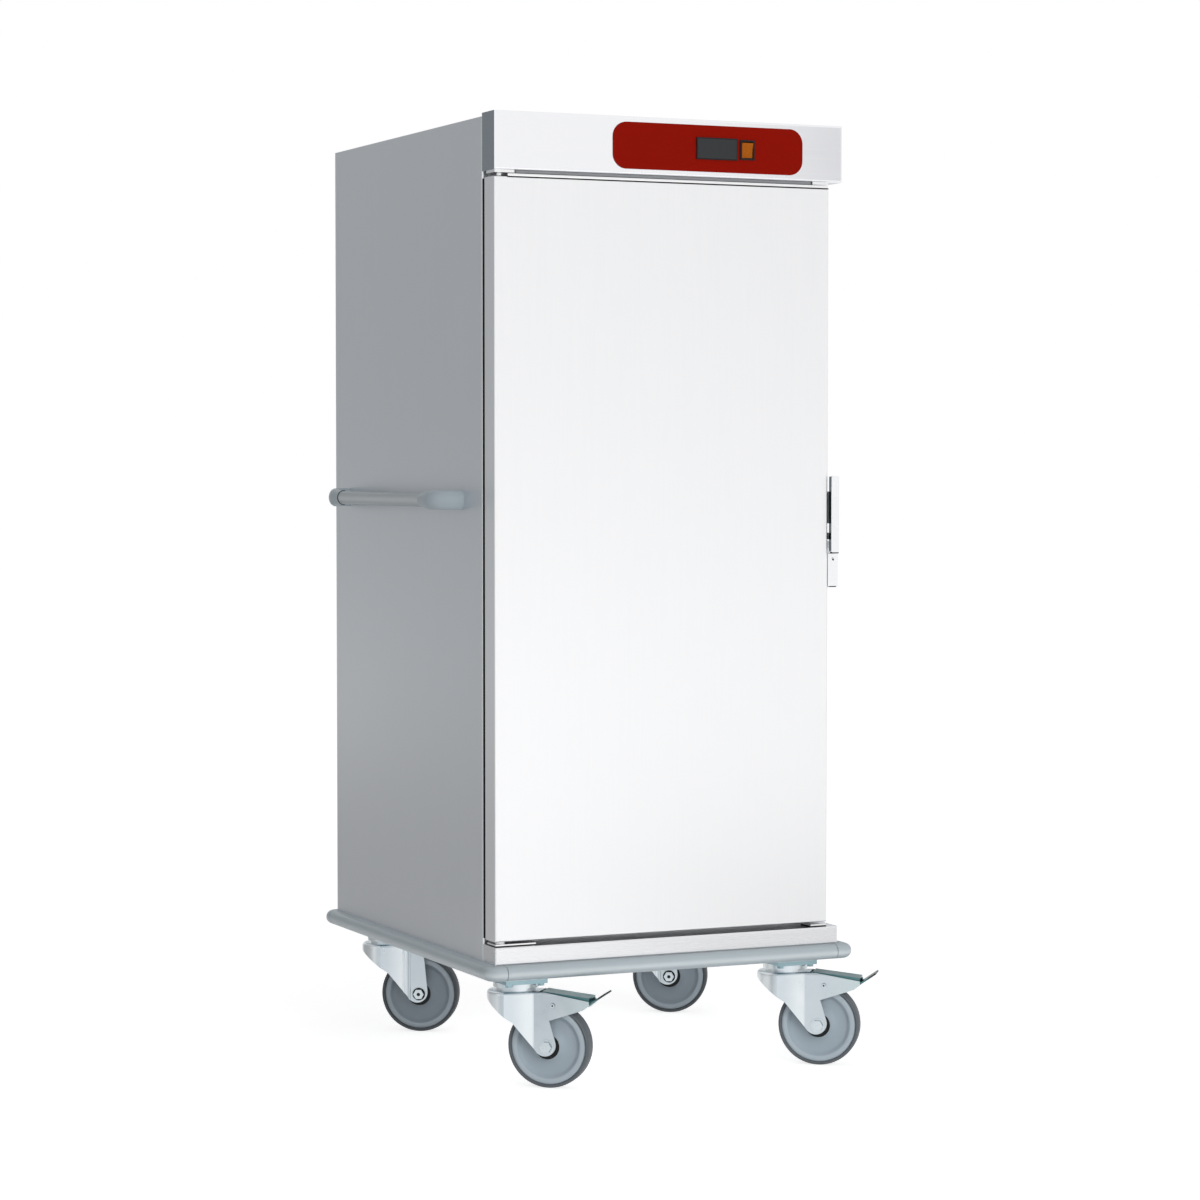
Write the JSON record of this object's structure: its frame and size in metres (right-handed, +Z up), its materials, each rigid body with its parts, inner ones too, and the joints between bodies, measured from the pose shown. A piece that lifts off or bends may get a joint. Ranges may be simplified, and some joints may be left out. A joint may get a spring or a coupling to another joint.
{
  "type": "heated holding cart",
  "caption": "Tall insulated steel cabinet on swivel casters with a hinged door, hot air unit, pan runners, push handles and a bumper, for keeping trays of food hot.",
  "frame": {"origin": "on the floor, under the middle of the cabinet", "axes": "+Z up, the door faces -Y, the hinges are on the -X side and the latch on the +X side"},
  "size_m": [0.872, 0.9407, 1.833],
  "materials": {
    "stainless": "satin",
    "wool": "matte",
    "foam": "matte",
    "thermal_break": "matte",
    "frame_steel": "satin",
    "red_plate": "semi gloss",
    "black_plastic": "matte",
    "window": "gloss",
    "amber_plastic": "gloss",
    "bumper_plastic": "satin",
    "handle_plastic": "satin",
    "gasket_rubber": "matte",
    "latch_alloy": "satin",
    "motor_alloy": "matte",
    "zinc": "bright zinc",
    "wheel_plastic": "satin",
    "tyre_rubber": "matte"
  },
  "bodies": {
    "cabinet": {"side_panel_left": "stainless", "side_panel_right": "stainless", "back_panel": "stainless", "cable_gland": "black_plastic", "top_panel": "stainless", "floor_pan": "stainless", "front_frame": "thermal_break", "inner_liner": "stainless", "insulation": "wool", "header_fascia": "stainless", "control_plate": "red_plate", "controller": "black_plastic", "controller_window": "window", "switch_bezel": "black_plastic", "sill": "stainless", "base_frame": "frame_steel", "bumper_rails": "bumper_plastic", "bumper_corners": "bumper_plastic", "handle_bars": "handle_plastic", "handle_brackets": "handle_plastic", "hinge_plates": "stainless", "latch_keeper": "stainless", "pan_rack_left": "stainless", "pan_rack_right": "stainless", "fan_motor": "motor_alloy", "heater_element": "stainless", "air_baffle": "stainless", "caster_plates": "zinc", "caster_bolts": "zinc"},
    "door": {"door_skin": "stainless", "door_inner_panel": "stainless", "door_core": "foam", "door_gasket": "gasket_rubber", "hinge_bushes": "black_plastic", "latch_base": "latch_alloy", "latch_pin": "stainless"},
    "latch": {"latch_lever": "latch_alloy"},
    "rocker": {"switch_rocker": "amber_plastic"},
    "fan": {"fan_wheel": "stainless"},
    "front_left_swivel": {"front_left_fork": "zinc", "front_left_axle": "zinc"},
    "front_left_wheel": {"front_left_rim": "wheel_plastic", "front_left_tyre": "tyre_rubber"},
    "front_left_brake": {"front_left_pedal": "zinc"},
    "front_right_swivel": {"front_right_fork": "zinc", "front_right_axle": "zinc"},
    "front_right_wheel": {"front_right_rim": "wheel_plastic", "front_right_tyre": "tyre_rubber"},
    "front_right_brake": {"front_right_pedal": "zinc"},
    "rear_left_swivel": {"rear_left_fork": "zinc", "rear_left_axle": "zinc"},
    "rear_left_wheel": {"rear_left_rim": "wheel_plastic", "rear_left_tyre": "tyre_rubber"},
    "rear_right_swivel": {"rear_right_fork": "zinc", "rear_right_axle": "zinc"},
    "rear_right_wheel": {"rear_right_rim": "wheel_plastic", "rear_right_tyre": "tyre_rubber"}
  },
  "joints": [
    {"name": "door_swing", "type": "hinge", "parent": "cabinet", "child": "door", "pos_m": [-0.345, -0.4085, 1], "axis": [0, 0, -1], "range_deg": [0, 180]},
    {"name": "latch_lift", "type": "hinge", "parent": "door", "child": "latch", "pos_m": [0.347, -0.4125, 0.99], "axis": [1, 0, 0], "range_deg": [0, 35], "stiffness_Nm_per_rad": 0.8, "springref_deg": -14.32},
    {"name": "switch_rock", "type": "hinge", "parent": "cabinet", "child": "rocker", "pos_m": [0.1573, -0.4315, 1.7785], "axis": [-1, 0, 0], "range_deg": [0, 14]},
    {"name": "fan_spin", "type": "hinge", "parent": "cabinet", "child": "fan", "pos_m": [0, 0.0465, 1.66], "axis": [0, 0, 1], "continuous": true},
    {"name": "front_left_swivel", "type": "hinge", "parent": "cabinet", "child": "front_left_swivel", "pos_m": [-0.288, -0.35, 0.2], "axis": [0, 0, 1], "continuous": true},
    {"name": "front_left_roll", "type": "hinge", "parent": "front_left_swivel", "child": "front_left_wheel", "pos_m": [-0.23591, -0.39371, 0.08], "axis": [0.6428, 0.766, 0], "continuous": true},
    {"name": "front_left_brake", "type": "hinge", "parent": "front_left_swivel", "child": "front_left_brake", "pos_m": [-0.22672, -0.40142, 0.159], "axis": [0.6428, 0.766, 0], "range_deg": [0, 14], "stiffness_Nm_per_rad": 2, "springref_deg": -11.46},
    {"name": "front_right_swivel", "type": "hinge", "parent": "cabinet", "child": "front_right_swivel", "pos_m": [0.288, -0.35, 0.2], "axis": [0, 0, 1], "continuous": true},
    {"name": "front_right_roll", "type": "hinge", "parent": "front_right_swivel", "child": "front_right_wheel", "pos_m": [0.34301, -0.38997, 0.08], "axis": [0.5878, 0.809, 0], "continuous": true},
    {"name": "front_right_brake", "type": "hinge", "parent": "front_right_swivel", "child": "front_right_brake", "pos_m": [0.35272, -0.39702, 0.159], "axis": [0.5878, 0.809, 0], "range_deg": [0, 14], "stiffness_Nm_per_rad": 2, "springref_deg": -11.46},
    {"name": "rear_left_swivel", "type": "hinge", "parent": "cabinet", "child": "rear_left_swivel", "pos_m": [-0.288, 0.33, 0.2], "axis": [0, 0, 1], "continuous": true},
    {"name": "rear_left_roll", "type": "hinge", "parent": "rear_left_swivel", "child": "rear_left_wheel", "pos_m": [-0.22971, 0.29498, 0.08], "axis": [0.515, 0.8572, 0], "continuous": true},
    {"name": "rear_right_swivel", "type": "hinge", "parent": "cabinet", "child": "rear_right_swivel", "pos_m": [0.288, 0.33, 0.2], "axis": [0, 0, 1], "continuous": true},
    {"name": "rear_right_roll", "type": "hinge", "parent": "rear_right_swivel", "child": "rear_right_wheel", "pos_m": [0.34629, 0.29498, 0.08], "axis": [0.515, 0.8572, 0], "continuous": true}
  ]
}
